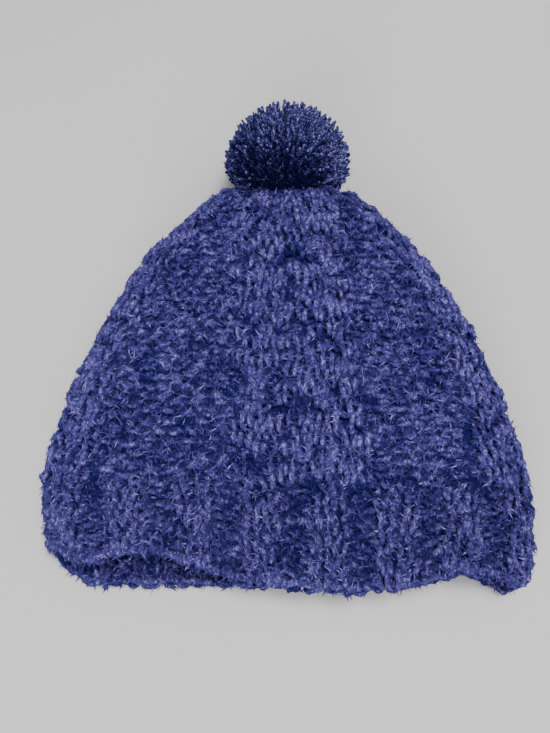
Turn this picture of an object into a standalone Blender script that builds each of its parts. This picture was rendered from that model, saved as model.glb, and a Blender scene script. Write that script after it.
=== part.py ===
"""Stocking cap: a knitted bobble hat lying flat on its lower layer.

Metres, +Z up. The cap rests on z = 0 with its width along X, its brim towards -Y and its
pompom towards +Y. A place along the cap is a length from the brim's edge. A place round it is
counted in stitches, clockwise as seen from the brim: 0 is the middle of the upper layer, a
quarter of the round is the right fold, half is the middle of the lower layer and three
quarters is the left fold.
"""
import math
import random
from collections import namedtuple

import bmesh
import bpy
from mathutils import Vector

# The knitted bag
CAP_WIDTH = 0.241            # across the widest place, lying flat
BRIM_LENGTH = 0.046          # ribbed band, along the cap
CROWN_LENGTH = 0.171         # from the brim to the gathered end
LYING_HEIGHT = 0.034         # thickest place of the two layers and the hollow between them
KNIT_THICKNESS = 0.0058      # one layer of the knitted fabric, at its cables and ribs
STITCHES_ROUND = 64
STITCHES_PER_RIB = 4
STITCHES_PER_PANEL = 16      # one cable panel and the purl ground beside it
CABLE_STITCHES = 8
STRAND_STITCHES = 2          # each of a cable's two ropes is two strands of this many stitches
STRAND_FULLNESS = 0.75       # half width of a strand's round top, as a share of its stitches
UNDER_STRAND_SHARE = 0.70    # height of the strand that passes below, as a share of the upper one
GROUND_STITCHES = 8          # purl ground beside each cable, over the lower part of the crown
GROUND_STITCHES_AT_END = 2   # what the decreases leave of it at the end
DECREASES_START = 0.118      # length from the brim's edge at which the decreases start
RIB_MIDDLE = 2.5             # stitch at the middle of a raised rib
RIB_RELIEF = 0.0024
CABLE_RELIEF = 0.0036
CABLE_PITCH = 0.040          # from one crossing of the strands to the next
FIRST_CROSSING = 0.044       # length from the brim's edge to the lowest crossing
FRONT_SLIP = 0.8             # stitches by which the upper layer's cable lies right of its middle
SLIP_NEXT_TO_BRIM = 0.8      # what the slip gains next to the brim
SLIP_REACH = 13.0            # stitches to each side over which the slip fades
SLIP_LENGTH = 0.030          # length from the brim over which the gain fades
ROW_SPACING = 0.0062         # between the modelled sections of the outside
LINING_SPACING = 0.0125      # between the modelled sections of the hollow, which is plain

# The gathered end
END_ROUND = 0.011            # length over which the end closes
GATHER_LENGTH = 0.034        # reach of the pleats from the end
GATHER_PLEATS = 16
PLEAT_DEPTH = 0.0016
END_RINGS = 7
POMPOM_DENT = 0.80           # how deep the pompom presses the end in, as a share of END_ROUND

# The pompom
POMPOM_WIDTH = 0.071
POMPOM_TOP = 0.060           # height of its top over the table
POMPOM_MIDDLE = 0.028        # height of its middle over the table
POMPOM_REACH = 0.034         # from its middle to its far side
POMPOM_PRESSED = 0.018       # from its middle to its side that is pressed on the crown
LOCK_LENGTH = 0.0075
LOCK_TIP_SHARE = 0.42        # a lock's tip, as a share of its foot
LOCK_UNEVENNESS = 0.30       # shortest lock is this share shorter than the longest
SAG = 0.003                  # how far the pompom is pressed flat on the table
POMPOM_SUBDIVISIONS = 3      # how often the ball's facets are divided
LOCK_SEED = 11

# The tie
TIE_DIAMETER = 0.005
TIE_DEPTH = 0.012            # how far it reaches into the pompom
KNOT_DIAMETER = 0.011
TIE_SIDES = 12
KNOT_SUBDIVISIONS = 2

# Clearances
PIECE_GAP = 0.0003
SEAT_GAP = 0.0007            # between the crown's end and the pompom

# The flattened sections. Columns: place as a share of the bag's length up to where its end
# closes, width as a share of CAP_WIDTH, height as a share of LYING_HEIGHT.
Section = namedtuple("Section", "place width height")
SECTIONS = (
    Section(0.00, 0.948, 0.71),
    Section(0.09, 0.982, 0.74),
    Section(0.21, 1.000, 0.78),
    Section(0.34, 0.970, 0.84),
    Section(0.47, 0.915, 0.89),
    Section(0.60, 0.836, 0.94),
    Section(0.74, 0.732, 0.98),
    Section(0.87, 0.594, 1.00),
    Section(0.95, 0.480, 0.98),
    Section(1.00, 0.380, 0.95),
)
UPPER_FULLNESS = 3.3         # 2 is an ellipse, larger is squarer
LOWER_FULLNESS = 4.0
MIDDLE_SHARE = 0.42          # height of the folds, as a share of the section's height
FLOOR_PRESS = 0.0045         # how much of a section's round underside the table flattens

# The waves of the brim's edge. Columns: stitch round the brim, reach in stitches to each side,
# how far the edge draws back along the cap, how far it lifts off the table.
Wave = namedtuple("Wave", "stitch reach setback lift")
HEM_WAVES = (
    Wave(-9.0, 8.5, 0.0140, 0.0010),
    Wave(-15.4, 3.4, 0.0135, 0.0000),
    Wave(-17.8, 2.6, 0.0060, 0.0000),
    Wave(11.0, 4.4, 0.0070, 0.0050),
    Wave(21.2, 3.2, 0.0072, 0.0050),
    Wave(16.0, 1.8, 0.0040, 0.0000),
    Wave(18.3, 1.6, -0.0020, 0.0000),
    Wave(3.5, 3.5, -0.0020, 0.0000),
    Wave(28.5, 3.5, -0.0020, 0.0000),
)

BAG_LENGTH = BRIM_LENGTH + CROWN_LENGTH
SHOULDER = BAG_LENGTH - END_ROUND
PARTS = "stocking_cap"
CUTTERS = "cutters"
SHARP_ANGLE = 50             # degrees between faces that are shaded with an edge
ARC_SAMPLES = 160


def clear_scene():
    """Removes every object that the file opened with."""
    for item in list(bpy.data.objects):
        bpy.data.objects.remove(item, do_unlink=True)


def make_collection(name):
    collection = bpy.data.collections.new(name)
    bpy.context.scene.collection.children.link(collection)
    return collection


def yarn_material(name, colour):
    """A matt wool material of its own for one piece."""
    material = bpy.data.materials.new(name)
    material.use_nodes = True
    shader = material.node_tree.nodes["Principled BSDF"]
    shader.inputs["Base Color"].default_value = (*colour, 1.0)
    shader.inputs["Roughness"].default_value = 0.95
    shader.inputs["Metallic"].default_value = 0.0
    material.diffuse_color = (*colour, 1.0)
    return material


def make_object(name, bm, collection, colour):
    """Turns a bmesh into a named object with outward faces and its own material."""
    bmesh.ops.recalc_face_normals(bm, faces=bm.faces[:])
    mesh = bpy.data.meshes.new(name)
    bm.to_mesh(mesh)
    bm.free()
    mesh.shade_smooth()
    mesh.set_sharp_from_angle(angle=math.radians(SHARP_ANGLE))
    item = bpy.data.objects.new(name, mesh)
    item.data.materials.append(yarn_material(name, colour))
    collection.objects.link(item)
    return item


def smooth_step(value):
    """0 below 0, 1 above 1, and an even ease between them."""
    t = min(max(value, 0.0), 1.0)
    return t * t * (3.0 - 2.0 * t)


def section_size(along):
    """Width and height of the flattened section at a length from the brim's edge."""
    share = min(max(along / SHOULDER, 0.0), 1.0)
    last = len(SECTIONS) - 1
    index = max(i for i in range(last) if SECTIONS[i].place <= share)
    here, there = SECTIONS[index], SECTIONS[index + 1]
    before = SECTIONS[max(index - 1, 0)]
    after = SECTIONS[min(index + 2, last)]
    step = there.place - here.place
    t = (share - here.place) / step
    size = []
    for column in ("width", "height"):
        start, end = getattr(here, column), getattr(there, column)
        slope_in = step * (end - getattr(before, column)) / (there.place - before.place)
        slope_out = step * (getattr(after, column) - start) / (after.place - here.place)
        size.append(
            start * (1 + 2 * t) * (1 - t) ** 2
            + slope_in * t * (1 - t) ** 2
            + end * t * t * (3 - 2 * t)
            + slope_out * t * t * (t - 1)
        )
    return size[0] * CAP_WIDTH, size[1] * LYING_HEIGHT


def quarter_arc(half_width, rise, fullness, count):
    """Evenly spaced points of a quarter superellipse, from its middle to its fold."""
    power = 2.0 / fullness
    arc = []
    for i in range(ARC_SAMPLES + 1):
        angle = 0.5 * math.pi * i / ARC_SAMPLES
        outward = math.sin(angle) ** power
        upward = max(math.cos(angle), 0.0) ** power
        arc.append((half_width * outward, rise * upward))
    lengths = [0.0]
    for a, b in zip(arc, arc[1:]):
        lengths.append(lengths[-1] + math.hypot(b[0] - a[0], b[1] - a[1]))
    points = []
    k = 0
    for i in range(count + 1):
        target = lengths[-1] * i / count
        while k < ARC_SAMPLES - 1 and lengths[k + 1] < target:
            k += 1
        t = (target - lengths[k]) / (lengths[k + 1] - lengths[k])
        here, there = arc[k], arc[k + 1]
        points.append((here[0] + t * (there[0] - here[0]), here[1] + t * (there[1] - here[1])))
    return points


def flat_ring(along, inset):
    """One section as (x, z) pairs, a point for each stitch, drawn in by inset on every side.

    Its underside bulges below the table by FLOOR_PRESS. The points made from it are pressed
    back up to the table after their relief is added, which gives the flat place that it rests on.
    """
    width, height = section_size(along)
    quarter = STITCHES_ROUND // 4
    middle = height * MIDDLE_SHARE
    upper = quarter_arc(width / 2 - inset, height - middle - inset, UPPER_FULLNESS, quarter)
    lower = quarter_arc(width / 2 - inset, middle - inset + FLOOR_PRESS, LOWER_FULLNESS, quarter)
    ring = [(x, middle + z) for x, z in upper]
    ring += [(x, middle - z) for x, z in reversed(lower[:-1])]
    ring += [(-x, middle - z) for x, z in lower[1:]]
    ring += [(-x, middle + z) for x, z in reversed(upper[1:-1])]
    return ring


def ring_normals(ring):
    """Outward unit normals of a closed ring of (x, z) pairs."""
    normals = []
    for i, _ in enumerate(ring):
        before = ring[i - 1]
        after = ring[(i + 1) % len(ring)]
        dx, dz = after[0] - before[0], after[1] - before[1]
        length = math.hypot(dx, dz)
        normals.append((-dz / length, dx / length))
    return normals


def stitch_offset(stitch, centre, period):
    """Signed distance in stitches to the nearest repeat of centre."""
    return (stitch - centre + period / 2) % period - period / 2


def rib_relief(stitch):
    """Height of the ribbing: two stitches stand out and two lie back, in turn."""
    offset = stitch_offset(stitch, RIB_MIDDLE, STITCHES_PER_RIB)
    return RIB_RELIEF * 0.5 * (1 + math.cos(2 * math.pi * offset / STITCHES_PER_RIB))


def ground_stitches(along):
    """Stitches of purl ground beside each cable, which the decreases reduce towards the end."""
    share = smooth_step((along - DECREASES_START) / (SHOULDER - DECREASES_START))
    return GROUND_STITCHES + (GROUND_STITCHES_AT_END - GROUND_STITCHES) * share


def front_slip(stitch, along):
    """Stitches by which the upper layer's knitting has slipped sideways at one place."""
    beside = abs(stitch_offset(stitch, 0.0, STITCHES_ROUND)) / SLIP_REACH
    gain = SLIP_NEXT_TO_BRIM * smooth_step(1.0 - (along - BRIM_LENGTH) / SLIP_LENGTH)
    return (FRONT_SLIP + gain) * smooth_step(1.0 - beside)


def cable_relief(stitch, along):
    """Height of a cable panel: two mirrored ropes, each of two strands that cross in turn."""
    widening = (CABLE_STITCHES + ground_stitches(along)) / STITCHES_PER_PANEL
    home = stitch - front_slip(stitch, along)
    offset = stitch_offset(home, 0.0, STITCHES_PER_PANEL) * widening
    inside = abs(offset) - STRAND_STITCHES
    turn = math.pi * (along - FIRST_CROSSING) / CABLE_PITCH
    height = 0.0
    for side in (1, -1):
        middle = side * math.sin(turn) * STRAND_STITCHES / 2
        distance = (inside - middle) / (STRAND_FULLNESS * STRAND_STITCHES)
        above = 0.5 * (1 + side * math.cos(turn))
        strand = max(0.0, 1.0 - distance * distance)
        height = max(height, strand * (UNDER_STRAND_SHARE + (1 - UNDER_STRAND_SHARE) * above))
    return CABLE_RELIEF * height


def pleat_relief(stitch, along):
    """The gathers of the end, which grow towards it."""
    growth = smooth_step(1.0 - (BAG_LENGTH - along) / GATHER_LENGTH)
    return PLEAT_DEPTH * growth * math.cos(2 * math.pi * GATHER_PLEATS * stitch / STITCHES_ROUND)


def hem_wave(stitch):
    """Setback and lift of the brim's edge at one stitch."""
    setback = 0.0
    lift = 0.0
    for wave in HEM_WAVES:
        offset = stitch_offset(stitch, wave.stitch, STITCHES_ROUND)
        share = smooth_step(1.0 - abs(offset) / wave.reach)
        setback += wave.setback * share
        lift += wave.lift * share
    return setback, lift


def brim_point(stitch, along, flat, normal, inset):
    """A point of the brim, with its rib on the outside and its waved edge."""
    x, z = flat
    if inset == 0.0:
        relief = rib_relief(stitch) - RIB_RELIEF
        x += normal[0] * relief
        z += normal[1] * relief
    setback, lift = hem_wave(stitch)
    fade = 1.0 - smooth_step(along / BRIM_LENGTH)
    shift = setback * (1.0 - along / BRIM_LENGTH)
    return Vector((x, along + shift, max(z, inset) + lift * fade))


def pompom_near_side(x, z):
    """Where the pompom's pressed side lies along the cap, or None beside it."""
    across = x / (POMPOM_WIDTH / 2 - LOCK_LENGTH)
    up = z - POMPOM_MIDDLE
    rise = POMPOM_TOP - LOCK_LENGTH - POMPOM_MIDDLE if up > 0 else POMPOM_MIDDLE + SAG
    share = 1.0 - across * across - (up / rise) ** 2
    if share <= 0.0:
        return None
    return pompom_centre().y - POMPOM_PRESSED * math.sqrt(share)


def pompom_centre():
    """The pompom's middle, seated in the dent that it presses into the crown's end."""
    dent = END_ROUND * POMPOM_DENT
    return Vector((0.0, BAG_LENGTH - dent + SEAT_GAP + POMPOM_PRESSED, POMPOM_MIDDLE))


def tie_height():
    """Height of the eyelet and the tie: the middle of the crown's end."""
    return section_size(SHOULDER)[1] / 2


def tie_seat():
    """Where the tie enters the pompom, as a length along the cap."""
    return pompom_near_side(0.0, tie_height())


def crown_point(stitch, along, flat, normal, inset):
    """A point of the crown's long wall, with its cables and gathers on the outside."""
    x, z = flat
    if inset == 0.0:
        relief = cable_relief(stitch, along) - CABLE_RELIEF + pleat_relief(stitch, along)
        x += normal[0] * relief
        z += normal[1] * relief
    return Vector((x, along, max(z, inset)))


def end_point(stitch, turn, flat, normal, inset):
    """A point of the crown's closing end; turn runs from 0 at the shoulder to 1 at the eyelet."""
    eyelet = TIE_DIAMETER / 2 + PIECE_GAP
    angle = 0.5 * math.pi * turn
    along = SHOULDER + (END_ROUND - inset) * math.sin(angle)
    wall = crown_point(stitch, along, flat, normal, inset)
    around = 2 * math.pi * stitch / STITCHES_ROUND
    middle = Vector((0.0, along, tie_height()))
    hole = middle + Vector((eyelet * math.sin(around), 0.0, eyelet * math.cos(around)))
    closed = middle + (wall - middle) * math.cos(angle)
    share = turn ** 3
    point = closed * (1.0 - share) + hole * share
    near = pompom_near_side(point.x, point.z)
    if near is not None:
        point.y = min(point.y, near - SEAT_GAP - inset)
    point.z = max(point.z, inset)
    return point


def row_spacing(inset):
    """Spacing of the sections of the outside, or of the plainer inside."""
    return ROW_SPACING if inset == 0.0 else LINING_SPACING


def brim_rings(inset):
    """Rings of the brim from its edge to its joint with the crown."""
    count = max(2, round(BRIM_LENGTH / row_spacing(inset)))
    rings = []
    for i in range(count + 1):
        along = BRIM_LENGTH * i / count
        flat = flat_ring(along, inset)
        normals = ring_normals(flat)
        rings.append([brim_point(k, along, flat[k], normals[k], inset) for k in range(STITCHES_ROUND)])
    return rings


def crown_rings(inset):
    """Rings of the crown from its joint with the brim to its eyelet."""
    start = BRIM_LENGTH + PIECE_GAP
    count = max(3, round((SHOULDER - start) / row_spacing(inset)))
    rings = []
    for i in range(count + 1):
        along = start + (SHOULDER - start) * i / count
        flat = flat_ring(along, inset)
        normals = ring_normals(flat)
        rings.append([crown_point(k, along, flat[k], normals[k], inset) for k in range(STITCHES_ROUND)])
    flat = flat_ring(SHOULDER, inset)
    normals = ring_normals(flat)
    for i in range(1, END_RINGS + 1):
        turn = i / END_RINGS
        rings.append([end_point(k, turn, flat[k], normals[k], inset) for k in range(STITCHES_ROUND)])
    return rings


def knitted_shell(name, rings_at, collection, colour):
    """Lofts an outer and an inner surface and closes both rims between them."""
    bm = bmesh.new()
    loop = rings_at(0.0) + list(reversed(rings_at(KNIT_THICKNESS)))
    rings = [[bm.verts.new(point) for point in ring] for ring in loop]
    for a, b in zip(rings, rings[1:] + rings[:1]):
        for k in range(STITCHES_ROUND):
            n = (k + 1) % STITCHES_ROUND
            bm.faces.new((a[k], a[n], b[n], b[k]))
    return make_object(name, bm, collection, colour)


def make_pompom(collection, colour):
    """A ball pressed on the crown and the table, with a tapered lock on each free facet."""
    dice = random.Random(LOCK_SEED)
    centre = pompom_centre()
    across = POMPOM_WIDTH / 2 - LOCK_LENGTH
    above = POMPOM_TOP - LOCK_LENGTH - POMPOM_MIDDLE
    below = POMPOM_MIDDLE + SAG
    beyond = POMPOM_REACH - LOCK_LENGTH
    crown_top = section_size(SHOULDER)[1]
    bm = bmesh.new()
    bmesh.ops.create_icosphere(bm, subdivisions=POMPOM_SUBDIVISIONS, radius=1.0)
    for vert in bm.verts:
        x, y, z = vert.co
        vert.co.x = centre.x + x * across
        vert.co.y = centre.y + y * (beyond if y > 0 else POMPOM_PRESSED)
        vert.co.z = max(centre.z + z * (above if z > 0 else below), 0.0)
    free = []
    for face in bm.faces:
        middle = face.calc_center_median()
        clear_of_crown = middle.y > BAG_LENGTH + LOCK_LENGTH / 2 or middle.z > crown_top + LOCK_LENGTH
        if clear_of_crown and middle.z > LOCK_LENGTH:
            free.append(face)
    locks = bmesh.ops.extrude_discrete_faces(bm, faces=free)["faces"]
    for face in locks:
        middle = face.calc_center_median()
        out = (middle - centre).normalized()
        length = LOCK_LENGTH * (1.0 - LOCK_UNEVENNESS * dice.random())
        for vert in face.verts:
            vert.co = middle + (vert.co - middle) * LOCK_TIP_SHARE + out * length
    return make_object("pompom", bm, collection, colour)


def bore_pompom(pompom, cutters):
    """Cuts the hole in the pompom that its tie goes into."""
    bm = bmesh.new()
    bmesh.ops.create_cone(
        bm, cap_ends=True, segments=TIE_SIDES, radius1=TIE_DIAMETER / 2 + PIECE_GAP,
        radius2=TIE_DIAMETER / 2 + PIECE_GAP, depth=2 * (TIE_DEPTH + PIECE_GAP),
    )
    cutter = make_object("tie_bore", bm, cutters, (0.5, 0.5, 0.5))
    cutter.location = (0.0, tie_seat(), tie_height())
    cutter.rotation_euler = (math.radians(90), 0.0, 0.0)
    cutter.hide_render = True
    cutter.display_type = "WIRE"
    cut = pompom.modifiers.new("tie bore", "BOOLEAN")
    cut.operation = "DIFFERENCE"
    cut.object = cutter
    return cutter


def make_tie(collection, cutters, colour):
    """The tie: a round cord through the eyelet, with a knot on the crown's inside."""
    crown_inside = tie_seat() - SEAT_GAP - KNIT_THICKNESS
    knot_middle = crown_inside - PIECE_GAP - KNOT_DIAMETER / 2
    length = tie_seat() + TIE_DEPTH - knot_middle
    bm = bmesh.new()
    bmesh.ops.create_cone(
        bm, cap_ends=True, segments=TIE_SIDES, radius1=TIE_DIAMETER / 2,
        radius2=TIE_DIAMETER / 2, depth=length,
    )
    tie = make_object("pompom_tie", bm, collection, colour)
    tie.location = (0.0, knot_middle + length / 2, tie_height())
    tie.rotation_euler = (math.radians(90), 0.0, 0.0)
    bm = bmesh.new()
    bmesh.ops.create_icosphere(bm, subdivisions=KNOT_SUBDIVISIONS, radius=KNOT_DIAMETER / 2)
    knot = make_object("tie_knot", bm, cutters, colour)
    knot.location = (0.0, knot_middle, tie_height())
    knot.hide_render = True
    knot.display_type = "WIRE"
    join = tie.modifiers.new("knot", "BOOLEAN")
    join.operation = "UNION"
    join.object = knot
    return tie, knot


def centre_on_origin(pieces, helpers):
    """Moves everything so that the origin is under the middle of the whole cap."""
    bpy.context.view_layer.update()
    corners = [item.matrix_world @ Vector(corner) for item in pieces for corner in item.bound_box]
    shift_x = -0.5 * (min(c.x for c in corners) + max(c.x for c in corners))
    shift_y = -0.5 * (min(c.y for c in corners) + max(c.y for c in corners))
    for item in pieces + helpers:
        item.location.x += shift_x
        item.location.y += shift_y


def main():
    clear_scene()
    parts = make_collection(PARTS)
    cutters = make_collection(CUTTERS)
    body_colour = (0.045, 0.056, 0.191)
    brim_colour = (0.036, 0.045, 0.153)
    pompom_colour = (0.023, 0.028, 0.100)
    tie_colour = (0.040, 0.050, 0.170)
    crown = knitted_shell("crown", crown_rings, parts, body_colour)
    brim = knitted_shell("brim", brim_rings, parts, brim_colour)
    pompom = make_pompom(parts, pompom_colour)
    bore = bore_pompom(pompom, cutters)
    tie, knot = make_tie(parts, cutters, tie_colour)
    centre_on_origin([crown, brim, pompom, tie], [bore, knot])


main()
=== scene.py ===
"""A knitted stocking cap lying flat, dressed with yarn loops, fuzz and a cut-yarn pompom.

Metres, in the frame of the cap's solids. A place along the cap is a length from the brim's
edge. A place round it is counted in stitches, clockwise as seen from the brim: 0 is the middle
of the upper layer, 16 the right fold, 32 the middle of the lower layer and 48 the left fold.
"""
import math

import bpy
import numpy as np
from mathutils import Matrix, Vector


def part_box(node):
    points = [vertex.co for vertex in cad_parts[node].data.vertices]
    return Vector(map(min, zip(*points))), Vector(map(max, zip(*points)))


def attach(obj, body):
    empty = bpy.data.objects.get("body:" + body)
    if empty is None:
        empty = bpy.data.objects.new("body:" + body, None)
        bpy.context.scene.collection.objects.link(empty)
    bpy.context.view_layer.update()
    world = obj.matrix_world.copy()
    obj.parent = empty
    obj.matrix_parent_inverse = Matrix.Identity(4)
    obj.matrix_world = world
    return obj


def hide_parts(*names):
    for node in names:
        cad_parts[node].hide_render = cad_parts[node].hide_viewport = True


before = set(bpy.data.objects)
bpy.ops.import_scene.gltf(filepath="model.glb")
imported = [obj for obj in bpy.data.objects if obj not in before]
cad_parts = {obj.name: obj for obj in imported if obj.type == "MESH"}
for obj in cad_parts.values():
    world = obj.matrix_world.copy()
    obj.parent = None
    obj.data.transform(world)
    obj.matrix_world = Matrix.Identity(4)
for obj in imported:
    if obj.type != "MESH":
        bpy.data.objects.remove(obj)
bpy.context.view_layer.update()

# The bag's sizes, the same as its solids have
CAP_WIDTH = 0.241
BRIM_LENGTH = 0.046
CROWN_LENGTH = 0.171
LYING_HEIGHT = 0.034
STITCHES = 64
PIECE_GAP = 0.0003
END_ROUND = 0.011
END_REACH = 0.020  # in the rows' own measure
GATHER_LENGTH = 0.034
GATHER_PLEATS = 16
PLEAT_DEPTH = 0.0016
UPPER_FULLNESS = 3.3
LOWER_FULLNESS = 4.0
MIDDLE_SHARE = 0.42
FLOOR_PRESS = 0.0045
BAG_LENGTH = BRIM_LENGTH + CROWN_LENGTH
SHOULDER = BAG_LENGTH - END_ROUND
BRIM_EDGE = float(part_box("crown")[0][1]) - BRIM_LENGTH - PIECE_GAP
TURN = 2 * math.pi

# Columns: place along the bag, width share, height share
SECTIONS = np.array((
    (0.00, 0.948, 0.71),
    (0.09, 0.982, 0.74),
    (0.21, 1.000, 0.78),
    (0.34, 0.970, 0.84),
    (0.47, 0.915, 0.89),
    (0.60, 0.836, 0.94),
    (0.74, 0.732, 0.98),
    (0.87, 0.594, 1.00),
    (0.95, 0.480, 0.98),
    (1.00, 0.380, 0.95),
))

# Columns: stitch, reach in stitches, setback along the cap, lift off the table
HEM_WAVES = (
    (-9.0, 8.5, 0.0140, 0.0010),
    (-15.4, 3.4, 0.0135, 0.0000),
    (-17.8, 2.6, 0.0060, 0.0000),
    (11.0, 4.4, 0.0070, 0.0050),
    (21.2, 3.2, 0.0072, 0.0050),
    (16.0, 1.8, 0.0040, 0.0000),
    (18.3, 1.6, -0.0020, 0.0000),
    (3.5, 3.5, -0.0020, 0.0000),
    (28.5, 3.5, -0.0020, 0.0000),
)

# Creases, sunk into the fabric and darkened with painted shade. Columns: stitch and length of one
# end, stitch and length of the other end, strength
CREASES = (
    (-1.0, 0.159, 0.6, 0.166, 1.0),
    (0.6, 0.166, 2.5, 0.163, 0.9),
    (-0.4, 0.142, 1.2, 0.137, 0.6),
    (1.2, 0.137, 3.6, 0.115, 0.8),
    (-0.8, 0.079, 0.6, 0.085, 1.0),
    (-2.0, 0.037, 0.1, 0.046, 0.8),
    (8.3, 0.121, 9.6, 0.120, 1.0),
    (8.7, 0.111, 9.3, 0.106, 0.9),
    (8.9, 0.098, 9.8, 0.095, 1.0),
    (-11.9, 0.060, -11.4, 0.034, 0.5),
    (11.8, 0.082, 11.1, 0.036, 0.5),
    (-2.2, 0.184, -1.6, 0.183, 0.8),
    (8.2, 0.177, 8.8, 0.175, 0.9),
    (6.0, 0.182, 6.6, 0.181, 0.7),
)

# The pompom's sizes, the same as its solid has
POMPOM_WIDTH = 0.071
POMPOM_TOP = 0.060
POMPOM_MIDDLE = 0.028
POMPOM_REACH = 0.034
POMPOM_PRESSED = 0.018
POMPOM_DENT = 0.80
SEAT_GAP = 0.0007
POMPOM_NEAR = 0.020  # where strands overhang the crown
TIE_OFFSET = (0.0, -0.019, -0.009)
PALE_BUNDLE = np.array((0.76, -0.63, 0.12))
STRANDS = 4600
STRAND_RADIUS = 0.00074
STRAND_SIDES = 4
DIRECTION_SPREAD = 0.035
STRAND_REACH = 0.94  # share of the ball's reach
REACH_SPREAD = 0.040
REACH_LIMITS = (-2.5, 1.8)
STRAND_LEAN = 0.0021
CLUMP_LEAN = 0.0024
CLUMP_WAVES = 5.0
CLUMP_PHASE = 2.0
THICK_SPREAD = 0.15
THICK_LIMITS = (0.65, 1.4)
STRAND_CLEARANCE = 1.2  # in radii
STRAND_TONE = 0.8
CORE_SHARE = 0.74
CORE_RINGS = 20
CORE_SIDES = 32
CORE_POLE = 0.02
CORE_CLEARANCE = 0.0006
CROWN_END_MARGIN = 0.001
CROWN_TOP_MARGIN = 0.002
OVERHANG = 0.007
OVERHANG_ABOVE = 0.020
OVERHANG_EASE = 0.012
BESIDE_CROWN = 0.052
# Painted shade of the strands next to the crown, under the pompom
NEAR_PAINTED_SHADES = ((0.25, 0.5, 1.3), (0.80, 0.12, 2.0))  # from where, ease, how much darker
BUNDLE_REACH = 0.36
BUNDLE_PALER = 4.0
# Painted light: strands on the right and the far side are paler, where the light falls from, with
# some of the yarn's own paler tone
RIGHT_PAINTED_LIGHT = 0.5
FAR_PAINTED_LIGHT = 1.2

# Columns: place along a strand, thickness
STRAND_STEPS = np.array((
    (0.50, 0.75),
    (0.68, 0.92),
    (0.82, 1.00),
    (0.93, 1.12),
    (1.00, 1.18),
    (1.015, 0.30),
))

# The knitting
BRIM_ROWS = 10
HEM_MARGIN = 0.0008  # from the solid's edge to the loops
CROWN_ROWS = 34
END_ROWS = 5
PANEL = 16  # stitches from one cable's middle to the next
CABLE = 8
STRAND = 2  # stitches in each strand of a cable
STRAND_GROOVE = 0.28  # share of TURN_BEHIND
HIDDEN_SHARE = 0.30  # share of a crossing in which a lower stitch moves
HIDDEN_SHIFT = 0.35  # sooner or later than the others
FRONT_SLIP = 0.8  # stitches to the right
SLIP_NEXT_TO_BRIM = 0.8
SLIP_REACH = 13.0
SLIP_LENGTH = 0.030
GROUND = 8
GROUND_AT_END = 2
DECREASES_START = 0.118
CABLE_PITCH = 0.040
FIRST_CROSSING = 0.044
LAST_CROSSING = 3
CROSSING_REACH = 0.0080  # half the length of a crossing
YARN_RADIUS = 0.00130
LOOP_SWING = 0.15  # as a share of a stitch
LOOP_RISE = 0.76  # as a share of a row
LOOP_DEPTH = 0.00125  # before and behind the fabric's middle
GROUND_LEVEL = -0.0040  # middle of the purl ground under the bag's outside
CABLE_LEVEL = -0.0026
RIB_PURL_LEVEL = -0.0042
RIB_KNIT_LEVEL = -0.0021
PRESSED_LEVEL = -0.0025  # where the table flattens it
STRAND_RISE = 0.0016
STRAND_DROP = 0.0022
FOLD_CALM = 0.45  # share of these left along a fold
TURN_BEHIND = 0.0034  # how far yarn sinks between two strands
# Creases: sunk into the fabric and darkened with painted shade, by a lower relief in the yarn's
# colour and by darker fibres
CROSSING_CREASE = 0.6
CREASE_WIDTH = 0.0011
CREASE_DEPTH = 0.0012
CREASE_SHADE = 0.0030
CREASE_FIBRE_SHADE = 1.8
CREASE_BARE = 0.35  # no fibre grows in deeper ones
FIBRE_UNEVEN = 0.66
LOCK_TONE = 0.96
STITCH_WIDTH = 0.0040  # for distances from a crease
UNEVEN_FROM = 0.140  # where the end pulls the stitches about
UNEVEN_REACH = 0.040
CROWN_UNEVEN = 0.52  # share of that pull elsewhere
SWAY = 0.70  # stitches
SWAY_LENGTH = 0.017
# Painted light and shade in the hollow: inward yarn faces and the rows in the light are paler, the
# rows under the upper layer darker
INSIDE_LIGHT_LIFT = 0.0016
INSIDE_PAINTED_LIGHT = 0.15
INSIDE_PAINTED_SHADE = 0.16
ROWS_IN_LIGHT = 2
# Painted light on the knit ribs' fibres and painted shade on the purl columns' fibres
RIB_SHADE = 0.18  # how much paler a rib's fibres are
UNEVENNESS = 0.0007  # slow swell of the whole fabric
SWELL_SHARE = 0.4
YARN_WOBBLE = 0.00058
WOBBLE_WINDOW = 2  # points of a yarn
CAST_ON_WINDOW = 3
SIDE_WANDER = 0.15  # in widths of a loop
SIDE_PULL = 0.12
ROW_WANDER = 0.00078
ROW_PULL = 0.0007
SWAY_TURN = 0.8
DEPTH_WANDER = 0.15
TONE_WANDER = 0.6
THICK_WINDOW = 7
THICK_WANDER = 0.20
THICK_IN_FRONT = 0.14
THINNEST = 0.6
THICKEST = 1.45
FEWEST_KNOTS = 4
CAST_ON_RADIUS = 0.0014
CAST_ON_MIDDLE = 0.0012  # from the loops' own end
CAST_ON_TWIST = 0.0007  # along the cap
CAST_ON_DEPTH = 0.0010  # through the fabric
CAST_ON_HEIGHT = 0.0006
CAST_ON_TONE = 0.4
YARN_LOWEST = 0.0001
YARN_END = 0.1
END_COVERED = 0.96
END_THINNING = 0.35

# The layer's height for its depth attribute, which sets its painted shade
BEHIND_LOOPS = 0.0035  # height for its shade

# The grid that the bag's outside is read from
GRID_START = -0.003  # before the brim's edge
GRID_STEP = 0.0015
TINY = 1e-9
TINIEST = 1e-12
GRID_ROUND = 8  # grid columns for each stitch
END_GRID_ROWS = 25
ARC_POINTS = 400
PRESS_HEIGHT = 0.0045  # below this height the table presses the layer
PRESS_EASE = 0.004
PRESS_TURN = 1.6

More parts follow.
